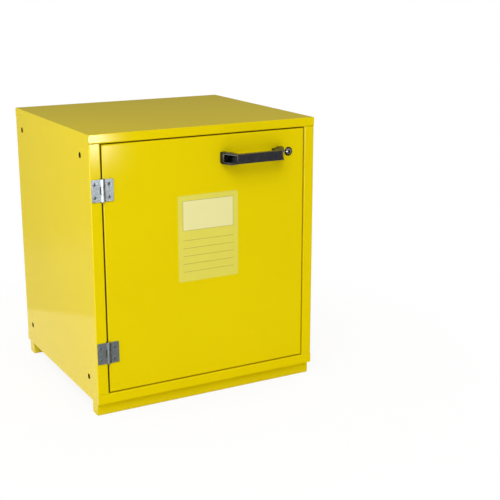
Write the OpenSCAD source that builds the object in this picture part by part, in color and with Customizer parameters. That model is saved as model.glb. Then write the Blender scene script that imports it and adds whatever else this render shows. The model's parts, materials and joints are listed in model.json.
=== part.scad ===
// Flammable storage cabinet: a carcass of folded sheet steel on two skids, with one inset door on
// surface hinges, a bridge handle, a cam lock, slotted shelf rails, a retention shelf and a sump tray.
// Millimetres. +Z is up and the door faces -Y. The origin is on the floor, under the middle of the part.

/* [Body] */
// Width over the side panels
body_w = 550; // [480:1:700]
// Depth from the front face to the back
body_d = 500; // [420:1:650]
// Height without the skids
body_h = 600; // [540:1:800]
// Thickness of the carcass and door sheet
sheet = 1.5; // [1:0.1:2]
// Inside radius of the folds in the sheet
fold_r = 1; // [0.6:0.1:1.5]

/* [Door frame] */
// Width of the two upright front faces beside the door
stile_w = 25; // [25:0.5:40]
// Height of the front face above the door
top_lip = 20; // [15:0.5:40]
// Height of the front face below the door
bottom_lip = 23; // [15:0.5:40]
// Depth from the front face to the flange that the door closes on
seat_d = 24; // [23:0.5:30]
// Width of that flange
stop_w = 13; // [12:0.5:18]
// Width of the flanges that hold the back panel
rear_flange = 22; // [18:1:30]
// Open seam where two folded panels meet
seam = 0.2; // [0.1:0.05:0.5]

/* [Skids] */
// Height of a skid
skid_h = 30; // [26:1:60]
// Depth of a skid from front to back
skid_d = 30; // [20:1:60]
// Front skid behind the front face
skid_front = 12; // [4:1:40]
// Rear skid in front of the back
skid_back = 10; // [4:1:40]
// Skid ends inside the side faces
skid_side = 2; // [1:0.5:10]

/* [Side fixing holes] */
// Radius of the holes for bolting cabinets side by side
side_hole_r = 6.5; // [3:0.25:7]
// Spacing of those holes from front to back
side_hole_y = 400; // [340:1:420]
// Spacing of those holes in height
side_hole_z = 500; // [440:1:530]
// Hole pattern behind the middle of the depth
side_hole_shift = 5; // [0:1:10]

/* [Back fixings] */
// Shank radius of the blind rivets
rivet_r = 2; // [1.5:0.1:2.4]
// Head radius of the rivets
rivet_head_r = 4; // [3.5:0.1:5]
// Head height of the rivets
rivet_head_h = 1.2; // [0.8:0.1:1.6]
// Length of the rivet bulb inside
rivet_bulb = 2.5; // [1.5:0.1:3]
// End rivets of a row from the corner of the body
rivet_end = 52; // [40:1:80]
// Rivets along each upright rear flange
rivets_up = 5; // [3:1:8]
// Rivets along each level rear flange
rivets_across = 4; // [2:1:8]

/* [Vents] */
// Radius of the vent openings in the back panel
vent_r = 48; // [30:1:55]
// Rim of a vent cover beyond its opening
vent_rim = 17; // [13:1:25]
// Radius of the perforations in a vent cover
vent_hole_r = 4; // [2:0.5:4.5]
// Spacing of those perforations
vent_pitch = 12; // [11:0.5:20]
// Upper vent's centre below the top of the body
vent_down = 110; // [100:1:140]
// Lower vent's centre above the body's underside
vent_up = 150; // [135:1:170]

/* [Earth point] */
// Shank radius of the earth bolt
earth_r = 3; // [2:0.25:4]
// Head height of the earth bolt
earth_head = 3.5; // [2.5:0.1:4]
// Thickness of the earth washer
earth_washer_t = 1.2; // [0.8:0.1:1.6]
// Earth bolt inside the right side face
earth_in = 70; // [50:1:120]
// Earth bolt above the body's underside
earth_up = 86; // [80:1:120]

/* [Shelf] */
// Width of a slotted rail
rail_w = 22; // [18:1:30]
// Rail depth from the side panel
rail_out = 10; // [8:0.5:16]
// Sheet thickness of the rails
rail_t = 1.2; // [1:0.1:1.5]
// Front rails behind the door stop
rail_front = 85; // [70:1:110]
// Rear rails in front of the back panel
rail_back = 95; // [80:1:110]
// Rail ends inside the top and underside of the body
rail_end = 75; // [70:1:100]
// Spacing of the rail slots
slot_pitch = 25; // [20:1:32]
// Width of a slot
slot_w = 10; // [8:0.5:12]
// Slot that carries the shelf, counted from the lowest
shelf_slot = 8; // [5:1:9]
// Thickness of a shelf clip
clip_t = 2; // [1.5:0.1:2.5]
// Length of the clip ledge under the shelf
clip_ledge = 16; // [12:1:24]
// Drop of the clip hook behind its slot
clip_hook = 7; // [5:0.5:9]
// Clearance of a clip in its slot
clip_gap = 0.4; // [0.2:0.1:0.8]
// Sheet of the shelf and the sump tray
tray_t = 1.2; // [1:0.1:2]
// Height of the shelf's retaining edge
shelf_edge = 32; // [20:1:50]
// Room between shelf and rails at each side
shelf_gap = 2; // [1:0.5:5]
// Shelf front behind the door stop
shelf_front = 35; // [30:1:50]
// Shelf back in front of the back panel
shelf_back = 16; // [10:1:40]

/* [Sump tray] */
// Height of the sump tray
sump_h = 60; // [45:1:75]
// Room between the sump tray and the door stops at each side
sump_gap = 4; // [2:0.5:10]
// Sump tray front behind the door stop
sump_front = 12; // [8:1:30]
// Sump tray back in front of the back panel
sump_back = 16; // [14:1:40]

/* [Door] */
// Gap around the door
door_gap = 3; // [2:0.25:4]
// Depth of the door pan
door_d = 20; // [18:0.5:20.5]
// Width of the pan's turned-in back edge
door_edge = 15; // [14:0.5:20]
// Width of the stiffener's raised middle
stiff_w = 50; // [40:1:80]
// Width of the stiffener's welding flanges
stiff_flange = 15; // [10:1:20]
// Sheet thickness of the stiffener
stiff_t = 1.2; // [1:0.1:1.5]
// Room between the stiffener and the pan's edges
stiff_gap = 0.5; // [0.3:0.1:2]
// Space between the stiffener and the handle's nuts
stiff_clear = 2; // [1:0.5:10]
// Free space between closed door and seal
seal_gap = 0.3; // [0.2:0.05:0.6]
// Width of the door seal
seal_w = 10; // [7:0.5:10.5]
// Seal inside the door opening
seal_in = 1.5; // [1:0.25:2]

/* [Hinges] */
// Height of a hinge
hinge_h = 48; // [40:1:60]
// Width of a hinge leaf from the pin axis
leaf_w = 25; // [23:0.5:26]
// Thickness of a hinge leaf
leaf_t = 2; // [1.5:0.1:2.4]
// Corner radius of the leaves
leaf_corner = 2; // [1:0.5:5]
// Outer radius of the knuckles
knuckle_r = 3.6; // [3.2:0.1:4.2]
// Gap between knuckles
knuckle_gap = 0.4; // [0.3:0.05:0.6]
// Gap between a knuckle and the other leaf
leaf_gap = 2; // [0.4:0.1:2.5]
// Radius of the hinge pins
pin_r = 1.75; // [1.25:0.05:2]
// Height of the riveted pin ends
pin_end = 1; // [0.5:0.1:2]
// Radial clearance of pins, screws and turned pieces in their bores
run_gap = 0.05; // [0.02:0.01:0.09]
// Hinge centres from the top and the underside of the body
hinge_in = 119; // [80:1:150]
// Hinge screw spacing in height
hinge_hole_z = 28; // [22:1:30]
// Screws in the frame leaf from the pin axis
hinge_hole_frame = 18; // [14:0.5:19]
// Screws in the door leaf from the pin axis
hinge_hole_door = 14; // [13:0.5:19]
// Shank radius of the hinge screws
hinge_screw_r = 2; // [1.5:0.1:2.2]
// Head radius of the hinge screws
hinge_screw_head = 3.7; // [3.2:0.1:4]

/* [Handle] */
// Length over the feet
handle_len = 160; // [150:1:180]
// Length of the grip bar's flat front
grip_len = 122; // [100:1:126]
// Reach of the grip in front of the door
handle_out = 40; // [34:0.5:50]
// Thickness of the grip bar
grip_t = 12; // [9:0.5:14]
// Height of the grip bar
grip_h = 21; // [18:0.5:24]
// Height of the feet
foot_h = 27; // [24:0.5:30]
// Corner radius of the feet
foot_corner = 3.5; // [1:0.5:6]
// Height of a foot's outer end
foot_end = 4; // [2:0.5:7]
// Height of the foot under its screw
foot_seat = 8; // [5:0.5:10]
// Leg thickness between screw pocket and finger gap
leg_t = 6; // [4:0.5:8]
// Lean of a leg on the finger side
leg_lean = 4; // [1:0.5:8]
// Spacing of the handle screws
handle_pitch = 134; // [130:0.5:136]
// Width of the screw pocket in a foot
pocket_w = 18; // [15:0.5:19]
// Height of the screw pocket in a foot
pocket_h = 17; // [13:0.5:17.5]
// Corner radius of the screw pocket
pocket_corner = 3; // [1:0.5:4]
// Shank radius of the handle screws
handle_screw_r = 3; // [2.5:0.1:3.2]
// Handle and lock centres below the top of the body
handle_down = 73.5; // [60:0.5:90]
// Space between the handle's foot and the lock
handle_gap = 5.5; // [2:0.5:30]

/* [Lock] */
// Lock axis from the door's free edge
lock_in = 41; // [36:0.5:60]
// Radius of the lock's front ring
bezel_r = 10; // [9.6:0.1:14]
// Height of the lock's front at its middle
bezel_t = 5; // [3.5:0.1:8]
// Radius of the lock barrel
barrel_r = 9; // [8.6:0.1:9.4]
// Thickness of the lock nut
lock_nut_t = 5; // [3:0.5:8]
// Radius of the turning plug
plug_r = 6.2; // [5.4:0.1:6.6]
// Step of the plug's front rim beyond its barrel, and the rim's height
plug_rim = 1.2; // [0.8:0.1:1.5]
// Thickness of the cam
cam_t = 2.5; // [2:0.1:4]
// Width of the cam
cam_w = 16; // [13:0.5:20]
// Cam overlap behind the door stop
cam_bite = 9; // [5:0.5:11]
// Space between door stop and cam
cam_gap = 0.8; // [0.5:0.1:2]
// Width of the square that drives the cam
tang_w = 7; // [6.4:0.1:7.4]
// Shank radius of the cam screw
cam_screw_r = 2; // [1.5:0.1:2.5]
// Depth of the cam screw in the plug
cam_screw_in = 8; // [5:0.5:12]

/* [Contents label] */
// Width of the label
label_w = 150; // [80:1:180]
// Height of the label
label_h = 197; // [100:1:220]
// Thickness of the label
label_t = 0.3; // [0.2:0.05:0.5]
// Corner radius of the label
label_corner = 5; // [1:0.5:15]
// Label below the upper edge of the door
label_down = 127; // [120:1:150]

/* [Hidden] */

// Facets of the round outlines
$fn = 48;
// Overrun of a cutting shape past the face that it opens, and of a piece into the one it joins
over = 1;
// Overrun of the trim outside a bend
trim = 0.01;

// Outer radius of a fold
fold_out = fold_r + sheet;

// What stands proud of the back, and the depth over everything
rear_proud = max(rivet_head_h, earth_washer_t + earth_head - sheet);
total_d = handle_out + body_d + rear_proud;

// Faces of the body
left_x = -body_w / 2;
right_x = -left_x;
front_y = handle_out - total_d / 2;
back_y = front_y + body_d;
base_z = skid_h;
top_z = base_z + body_h;
middle_y = (front_y + back_y) / 2;
middle_z = (base_z + top_z) / 2;

// Inside of the front sheet, and both faces of the back panel
skin_in = front_y + sheet;
back_out = back_y - sheet;
back_in = back_out - sheet;

// Door opening, and the two faces of the flange behind it
open_l = left_x + stile_w;
open_r = -open_l;
open_b = base_z + bottom_lip;
open_t = top_z - top_lip;
seat_y = front_y + seat_d;
stop_back = seat_y + sheet;

// Door edges and back
door_l = open_l + door_gap;
door_r = open_r - door_gap;
door_b = open_b + door_gap;
door_t = open_t - door_gap;
door_back = front_y + door_d;

// Hinge axis, hinge centres and screw heights
pin_x = open_l + door_gap / 2;
pin_y = front_y - knuckle_r;
upper_hinge_z = top_z - hinge_in;
lower_hinge_z = base_z + hinge_in;
hinge_zs = [for (c = [lower_hinge_z, upper_hinge_z], s = [-1, 1]) c + s * hinge_hole_z / 2];
frame_screws = [for (z = hinge_zs) [pin_x - hinge_hole_frame, z]];
door_screws = [for (z = hinge_zs) [pin_x + hinge_hole_door, z]];

// Places of the lock, the handle, the stiffener beside it and the cam
lock_xz = [door_r - lock_in, top_z - handle_down];
handle_x = lock_xz[0] - bezel_r - handle_gap - handle_len / 2;
handle_screw_xz = [for (s = [-1, 1]) [handle_x + s * handle_pitch / 2, lock_xz[1]]];
stiff_x = handle_screw_xz[0][0] - nut_r(handle_screw_r) - stiff_clear - stiff_flange - stiff_w / 2;
cam_y = stop_back + cam_gap;
cam_reach = lock_in + door_gap - stop_w + cam_bite;

// Shelf rails, slots and shelf
rail_face = left_x + sheet + rail_out;
rail_ys = [stop_back + rail_front, back_in - rail_back];
rail_b = base_z + rail_end;
rail_top = top_z - rail_end;
slot_h = clip_t + clip_gap;
slot_z0 = rail_b + slot_pitch;
slot_count = floor((rail_top - rail_b) / slot_pitch) - 1;
shelf_z = slot_z0 + shelf_slot * slot_pitch;

// Rivets through the rear flanges, as [x, z]
rivet_in = (sheet + rear_flange) / 2;
function row(n, span, i) = span * (i / (n - 1) - 0.5);
flange_rivets = concat(
    [for (s = [-1, 1], i = [0 : rivets_up - 1])
        [s * (right_x - rivet_in), middle_z + row(rivets_up, body_h - 2 * rivet_end, i)]],
    [for (s = [-1, 1], i = [0 : rivets_across - 1])
        [row(rivets_across, body_w - 2 * rivet_end, i), middle_z + s * (body_h / 2 - rivet_in)]]
);

// Vent centres and their rivets, as [x, z]
upper_vent = [0, top_z - vent_down];
lower_vent = [0, base_z + vent_up];
vent_rivet_at = vent_r + vent_rim / 2;
vent_fixings = [for (c = [lower_vent, upper_vent], a = [45 : 90 : 315]) c + vent_rivet_at * [cos(a), sin(a)]];

// Earth bolt, as [x, z]
earth_xz = [right_x - earth_in, base_z + earth_up];

// Proportions of nuts and screw heads for a shank of radius r
function nut_r(r) = 2 * r;
function nut_t(r) = 1.6 * r;
function head_r(r) = 1.65 * r;
function head_t(r) = 1.8 * r;
// Thread end past a nut
thread_end = 1;

// Bulb and flat top of a rivet
bulb_r = 1.5 * rivet_r;
rivet_flat_r = 0.6 * rivet_head_r;

// Countersunk hinge screw: end of the cone in front of the sheet, socket, and floor of the socket
sink_end = 0.2 * leaf_t;
hinge_socket_r = 0.7 * hinge_screw_r;
hinge_socket_end = 0.4 * leaf_t;

// Handle screw socket, earth washer and lock nut
handle_socket_r = 0.95 * handle_screw_r;
earth_washer_r = 2.2 * earth_r;
lock_nut_r = 1.45 * barrel_r;

// Height of the lock's coned face at the plug's edge, flat share of the ring, and straight edge at its foot
face_edge = 0.6 * bezel_t;
bezel_land = 0.3;
bezel_edge = 0.3 * bezel_t;

// Key slot in the plug, in a dished face, and the cam screw's head with its flat top
key_slot = [0.3 * plug_r, plug_r];
dish_r = 0.56 * plug_r;
dish_floor_r = 0.4 * plug_r;
dish_t = 0.2 * plug_r;
cam_head_r = 0.78 * tang_w;
cam_head_flat = 0.7 * cam_head_r;

// Least distance from the centre of a perforation to the edge of the vent opening
vent_edge = 1.5 * vent_hole_r;

// Paint, metal and plastic colours
yellow = [0.88, 0.78, 0.02];
zinc = [0.72, 0.74, 0.76];
black = [0.10, 0.10, 0.11];

// A flat outline in X and Y, drawn upwards
module along_z(z0, z1) {
    translate([0, 0, z0]) linear_extrude(z1 - z0) children();
}

// A flat outline in Y and Z, drawn to the right
module along_x(x0, x1) {
    translate([x0, 0, 0]) rotate([90, 0, 90]) linear_extrude(x1 - x0) children();
}

// A flat outline in X and Z, drawn from front to back
module along_y(y0, y1) {
    translate([0, y1, 0]) rotate([90, 0, 0]) linear_extrude(y1 - y0) children();
}

// A round bar from front to back
module rod_y(xz, r, y0, y1) {
    along_y(y0, y1) translate(xz) circle(r);
}

// A hexagon bar from front to back
module hex_y(xz, r, y0, y1) {
    along_y(y0, y1) translate(xz) circle(r, $fn = 6);
}

// A turned piece with its axis from front to back, drawn as [radius, depth] points from y
module turned(xz, y, profile) {
    translate([xz[0], y, xz[1]]) rotate([-90, 0, 0]) rotate_extrude() polygon(profile);
}

// A hexagon nut on a screw of radius r, with its seat at y
module nut(xz, r, y, t) {
    difference() {
        hex_y(xz, nut_r(r), y, y + t);
        rod_y(xz, r + run_gap, y - over, y + t + over);
    }
}

// Rectangle from corner to corner
module rect(a, b) {
    translate(a) square(b - a);
}

// Rectangle with round corners, from corner to corner
module round_rect(a, b, r) {
    rect([a[0] + r, a[1]], [b[0] - r, b[1]]);
    rect([a[0], a[1] + r], [b[0], b[1] - r]);
    for (x = [a[0] + r, b[0] - r], y = [a[1] + r, b[1] - r]) translate([x, y]) circle(r);
}

// Direction from one point to the next
function heading(a, b) = (b - a) / norm(b - a);

// Folded strip of sheet with right-angle bends, drawn upwards by long. The path is the middle line of
// the sheet seen edge on
module folded(path, long, t, r) {
    half = t / 2;
    mid = r + half;
    out = r + t;
    last = len(path) - 1;
    difference() {
        union() {
            for (i = [0 : last - 1]) {
                d = heading(path[i], path[i + 1]);
                n = [-d[1], d[0]] * half;
                a = path[i] - (i == 0 ? 0 : half) * d;
                b = path[i + 1] + (i == last - 1 ? 0 : half) * d;
                linear_extrude(long) polygon([a + n, b + n, b - n, a - n]);
            }
            for (i = [1 : 1 : last - 1]) bend_corner(path, i, mid) linear_extrude(long) difference() {
                square(mid);
                circle(r);
            }
        }
        for (i = [1 : 1 : last - 1]) bend_corner(path, i, mid) translate([0, 0, -over])
            linear_extrude(long + 2 * over) difference() {
                square(out + trim);
                circle(out);
            }
    }
}

// Folded strips along each axis, with the path in the other two
module fold_z(z0, z1, path, t = sheet, r = fold_r) {
    translate([0, 0, z0]) folded(path, z1 - z0, t, r);
}

module fold_x(x0, x1, path, t = sheet, r = fold_r) {
    translate([x0, 0, 0]) rotate([90, 0, 90]) folded(path, x1 - x0, t, r);
}

module fold_y(y0, y1, path, t = sheet, r = fold_r) {
    translate([0, y1, 0]) rotate([90, 0, 0]) folded(path, y1 - y0, t, r);
}

// Turns a quarter that is drawn towards +X and +Y into the bend at one point of a path
module bend_corner(path, i, mid) {
    d1 = heading(path[i - 1], path[i]);
    d2 = heading(path[i], path[i + 1]);
    left = d1[0] * d2[1] - d1[1] * d2[0] > 0;
    turn = left ? atan2(-d2[1], -d2[0]) : atan2(d1[1], d1[0]);
    translate(path[i] + (d2 - d1) * mid) rotate(turn) children();
}

// Open tray between two corners, with walls of thickness t
module tray(a, b, t) {
    difference() {
        translate(a) cube(b - a);
        translate(a + [t, t, t]) cube(b - a - [2 * t, 2 * t, 0]);
    }
}

// Holes for the blind rivets through the rear flanges and the back panel
module rivet_holes(places) {
    for (p = places) rod_y(p, rivet_r + run_gap, back_in - over, back_y + over);
}

// Blind rivet with its head outside, on a face at y, and its bulb inside
module rivet(xz, y) {
    grip = y - back_in;
    turned(xz, back_in, [
        [0, -rivet_bulb], [bulb_r, -rivet_bulb], [bulb_r, 0], [rivet_r, 0], [rivet_r, grip],
        [rivet_head_r, grip], [rivet_flat_r, grip + rivet_head_h], [0, grip + rivet_head_h]
    ]);
}

// Left side: flat panel, front stile folded back to the door stop, and rear flange
module side_panel() {
    half = sheet / 2;
    f0 = front_y + sheet;
    f1 = front_y + fold_out;
    b0 = back_y - sheet;
    b1 = back_y - fold_out;
    lo = base_z + sheet;
    hi = top_z - sheet;
    rear_lo = base_z + rear_flange + seam;
    rear_hi = top_z - rear_flange - seam;
    notch_lo = open_b - fold_out - seam;
    notch_hi = open_t + fold_out + seam;
    difference() {
        union() {
            along_x(left_x, left_x + sheet) polygon([
                [f0 + fold_r, hi], [b0 - fold_r, hi], [b0, hi - fold_r], [b0, rear_hi], [b1, rear_hi],
                [b1, rear_lo], [b0, rear_lo], [b0, lo + fold_r], [b0 - fold_r, lo], [f0 + fold_r, lo],
                [f0, lo + fold_r], [f0, notch_lo], [f1, notch_lo], [f1, notch_hi], [f0, notch_hi],
                [f0, hi - fold_r]
            ]);
            fold_z(open_b + seam, open_t - seam, [
                [left_x + half, f1 + over], [left_x + half, front_y + half], [open_l - half, front_y + half],
                [open_l - half, seat_y + half], [open_l + stop_w, seat_y + half]
            ]);
            fold_z(rear_lo, rear_hi, [
                [left_x + rear_flange, back_y - half], [left_x + half, back_y - half],
                [left_x + half, b1 - over]
            ]);
        }
        for (y = [-1, 1], z = [-1, 1]) along_x(left_x - over, left_x + sheet + over)
            translate([middle_y + side_hole_shift + y * side_hole_y / 2, middle_z + z * side_hole_z / 2])
                circle(side_hole_r);
        rivet_holes(flange_rivets);
    }
}

// Top or bottom: flat panel with front lip, return, door stop and rear flange.
// out is the outer face, and into is 1 or -1 for the way from it into the cabinet
module cap_panel(out, into, lip) {
    half = sheet / 2;
    lip_z = out + into * (lip - half);
    flat_z = out + into * half;
    return_x = right_x - sheet - seam;
    stop_x = open_r - stop_w - seam;
    difference() {
        union() {
            fold_x(left_x, right_x, [
                [front_y + fold_out, lip_z], [front_y + half, lip_z], [front_y + half, flat_z],
                [back_y - half, flat_z], [back_y - half, out + into * rear_flange]
            ]);
            fold_x(-return_x, return_x, [
                [front_y + half, flat_z], [front_y + half, lip_z], [seat_y - fold_r, lip_z]
            ]);
            fold_x(-stop_x, stop_x, [
                [seat_y - fold_r - over, lip_z], [seat_y + half, lip_z],
                [seat_y + half, out + into * (lip + stop_w)]
            ]);
        }
        rivet_holes(flange_rivets);
    }
}

// Skid: a folded channel with closed ends, open towards the body, with its front at y
module skid(y) {
    half = sheet / 2;
    x = right_x - skid_side;
    fold_x(-x, x, [
        [y + half, base_z], [y + half, half], [y + skid_d - half, half], [y + skid_d - half, base_z]
    ]);
    for (end = [-x, x - sheet]) along_x(end, end + sheet) rect([y + half, half], [y + skid_d - half, base_z]);
}

// Perforated vent cover on the outside of the back panel
module vent_cover(xz) {
    rows = 2 * ceil(vent_r / vent_pitch);
    places = [for (i = [-rows : rows], j = [-rows : rows]) vent_pitch * [i + j / 2, j * sqrt(3) / 2]];
    difference() {
        rod_y(xz, vent_r + vent_rim, back_out, back_y);
        for (p = places) if (norm(p) < vent_r - vent_edge)
            rod_y(xz + p, vent_hole_r, back_out - over, back_y + over);
        rivet_holes(vent_fixings);
    }
}

// Slotted shelf rail on the left side panel
module rail(y) {
    half = rail_t / 2;
    inside = left_x + sheet;
    difference() {
        fold_z(rail_b, rail_top, [
            [inside, y - rail_w / 2 + half], [rail_face - half, y - rail_w / 2 + half],
            [rail_face - half, y + rail_w / 2 - half], [inside, y + rail_w / 2 - half]
        ], rail_t);
        for (i = [0 : slot_count - 1]) along_x(rail_face - rail_t - over, rail_face + over)
            translate([y - slot_w / 2, slot_z0 + i * slot_pitch - slot_h / 2]) square([slot_w, slot_h]);
    }
}

// Clip hooked into a slot of a left rail, with a ledge for the shelf
module clip(y) {
    hook_x = rail_face - rail_t - clip_gap - clip_t / 2;
    wide = slot_w - clip_gap;
    fold_y(y - wide / 2, y + wide / 2, [
        [hook_x, shelf_z - clip_hook], [hook_x, shelf_z], [rail_face + clip_ledge, shelf_z]
    ], clip_t, clip_gap);
}

// Hinge leaf with its centre at z. side is -1 for the frame and 1 for the door,
// and owns lists the thirds of the height that carry its knuckles
module leaf(z, side, owns, screws) {
    third = hinge_h / 3;
    low = z - hinge_h / 2;
    inner = knuckle_r + leaf_gap;
    mid_x = pin_x + side * (inner + leaf_w) / 2;
    difference() {
        union() {
            along_y(front_y - leaf_t, front_y) intersection() {
                round_rect([pin_x - leaf_w, low], [pin_x + leaf_w, low + hinge_h], leaf_corner);
                rect([mid_x - (leaf_w - inner) / 2, low], [mid_x + (leaf_w - inner) / 2, low + hinge_h]);
            }
            for (i = owns) {
                z0 = low + i * third + (i == 0 ? 0 : knuckle_gap / 2);
                z1 = low + (i + 1) * third - (i == 2 ? 0 : knuckle_gap / 2);
                along_z(z0, z1) {
                    translate([pin_x, pin_y]) circle(knuckle_r);
                    rect([pin_x - (side < 0 ? inner + over : 0), front_y - leaf_t],
                        [pin_x + (side > 0 ? inner + over : 0), front_y]);
                }
            }
        }
        along_z(low - over, low + hinge_h + over) translate([pin_x, pin_y]) circle(pin_r + run_gap);
        for (p = screws) turned(p, front_y, [
            [0, -leaf_t - over], [hinge_screw_head + run_gap, -leaf_t - over],
            [hinge_screw_head + run_gap, -leaf_t], [hinge_screw_r + run_gap, -sink_end],
            [hinge_screw_r + run_gap, over], [0, over]
        ]);
    }
}

// Hinge pin with both ends riveted over
module hinge_pin(z) {
    for (s = [-1, 1]) translate([pin_x, pin_y, z + s * (hinge_h + pin_end) / 2])
        cylinder(h = pin_end, r = pin_r + pin_end, center = true);
    translate([pin_x, pin_y, z]) cylinder(h = hinge_h, r = pin_r, center = true);
}

// Countersunk hinge screw with a hexagon socket
module hinge_screw(xz) {
    tail = sheet + nut_t(hinge_screw_r) + thread_end;
    difference() {
        turned(xz, front_y, [
            [0, -leaf_t], [hinge_screw_head, -leaf_t], [hinge_screw_r, -sink_end],
            [hinge_screw_r, tail], [0, tail]
        ]);
        hex_y(xz, hinge_socket_r, front_y - leaf_t - over, front_y - hinge_socket_end);
    }
}

// Block with every edge along X and Z rounded, as a folded pan has
module pan_block(a, b, r) {
    intersection() {
        along_z(a[2], b[2]) round_rect([a[0], a[1]], [b[0], b[1]], r);
        along_x(a[0], b[0]) round_rect([a[1], a[2]], [b[1], b[2]], r);
    }
}

module left_side_panel() {
    color(yellow) difference() {
        side_panel();
        for (p = frame_screws) rod_y(p, hinge_screw_r + run_gap, front_y - over, skin_in + over);
    }
}

module right_side_panel() { color(yellow) mirror([1, 0, 0]) side_panel(); }

module top_panel() { color(yellow) cap_panel(top_z, -1, top_lip); }

module bottom_panel() { color(yellow) cap_panel(base_z, 1, bottom_lip); }

module back_panel() {
    edge = fold_out + seam;
    color(yellow) difference() {
        along_y(back_in, back_out) rect([left_x + edge, base_z + edge], [right_x - edge, top_z - edge]);
        for (c = [lower_vent, upper_vent]) rod_y(c, vent_r, back_in - over, back_out + over);
        rivet_holes(flange_rivets);
        rivet_holes(vent_fixings);
        rod_y(earth_xz, earth_r + run_gap, back_in - over, back_out + over);
    }
}

module back_rivets() { color(zinc) for (p = flange_rivets) rivet(p, back_y); }

module front_skid() { color(yellow) skid(front_y + skid_front); }

module rear_skid() { color(yellow) skid(back_y - skid_back - skid_d); }

module upper_vent_cover() { color(yellow) vent_cover(upper_vent); }

module lower_vent_cover() { color(yellow) vent_cover(lower_vent); }

module vent_rivets() { color(zinc) for (p = vent_fixings) rivet(p, back_y); }

module earth_bolt() {
    seat = back_out + earth_washer_t;
    color("gold") {
        hex_y(earth_xz, nut_r(earth_r), seat, seat + earth_head);
        rod_y(earth_xz, earth_r, back_in - nut_t(earth_r) - thread_end, seat);
    }
}

module earth_washer() {
    color("gold") difference() {
        rod_y(earth_xz, earth_washer_r, back_out, back_out + earth_washer_t);
        rod_y(earth_xz, earth_r + run_gap, back_out - over, back_out + earth_washer_t + over);
    }
}

module earth_nut() { color("gold") nut(earth_xz, earth_r, back_in - nut_t(earth_r), nut_t(earth_r)); }

module left_front_rail() { color(zinc) rail(rail_ys[0]); }

module left_rear_rail() { color(zinc) rail(rail_ys[1]); }

module right_front_rail() { color(zinc) mirror([1, 0, 0]) rail(rail_ys[0]); }

module right_rear_rail() { color(zinc) mirror([1, 0, 0]) rail(rail_ys[1]); }

module shelf_clips() {
    color(zinc) for (y = rail_ys, m = [0, 1]) mirror([m, 0, 0]) clip(y);
}

module retention_shelf() {
    x = -rail_face - shelf_gap;
    z = shelf_z + clip_t / 2;
    color(zinc) tray([-x, stop_back + shelf_front, z], [x, back_in - shelf_back, z + shelf_edge], tray_t);
}

module sump_tray() {
    x = open_r - stop_w - sump_gap;
    z = base_z + sheet;
    color(zinc) tray([-x, stop_back + sump_front, z], [x, back_in - sump_back, z + sump_h], tray_t);
}

module door_seal() {
    inner = seal_in + seal_w;
    color(black) along_y(door_back + seal_gap, seat_y) difference() {
        rect([open_l + seal_in, open_b + seal_in], [open_r - seal_in, open_t - seal_in]);
        rect([open_l + inner, open_b + inner], [open_r - inner, open_t - inner]);
    }
}

module upper_hinge_frame_leaf() { color(zinc) leaf(upper_hinge_z, -1, [0, 2], frame_screws); }

module lower_hinge_frame_leaf() { color(zinc) leaf(lower_hinge_z, -1, [0, 2], frame_screws); }

module upper_hinge_pin() { color(zinc) hinge_pin(upper_hinge_z); }

module lower_hinge_pin() { color(zinc) hinge_pin(lower_hinge_z); }

module hinge_frame_screws() { color(zinc) for (p = frame_screws) hinge_screw(p); }

module hinge_frame_nuts() {
    color(zinc) for (p = frame_screws) nut(p, hinge_screw_r, skin_in, nut_t(hinge_screw_r));
}

module door_pan() {
    edge = [door_edge, door_edge];
    color(yellow) difference() {
        pan_block([door_l, front_y, door_b], [door_r, door_back, door_t], fold_out);
        pan_block([door_l + sheet, skin_in, door_b + sheet],
            [door_r - sheet, door_back - sheet, door_t - sheet], fold_r);
        along_y(door_back - sheet - over, door_back + over)
            rect([door_l, door_b] + edge, [door_r, door_t] - edge);
        for (p = door_screws) rod_y(p, hinge_screw_r + run_gap, front_y - over, skin_in + over);
        for (p = handle_screw_xz) rod_y(p, handle_screw_r + run_gap, front_y - over, skin_in + over);
        rod_y(lock_xz, barrel_r + run_gap, front_y - over, skin_in + over);
    }
}

module door_stiffener() {
    half = stiff_t / 2;
    near = skin_in + half;
    far = door_back - sheet - stiff_gap - half;
    end = sheet + fold_r + stiff_gap;
    x = stiff_w / 2 - half;
    flange_x = stiff_w / 2 + stiff_flange;
    color(yellow) translate([stiff_x, 0, 0]) fold_z(door_b + end, door_t - end, [
        [-flange_x, near], [-x, near], [-x, far], [x, far], [x, near], [flange_x, near]
    ], stiff_t);
}

module upper_hinge_door_leaf() { color(zinc) leaf(upper_hinge_z, 1, [1], door_screws); }

module lower_hinge_door_leaf() { color(zinc) leaf(lower_hinge_z, 1, [1], door_screws); }

module hinge_door_screws() { color(zinc) for (p = door_screws) hinge_screw(p); }

module hinge_door_nuts() {
    color(zinc) for (p = door_screws) nut(p, hinge_screw_r, skin_in, nut_t(hinge_screw_r));
}

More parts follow.
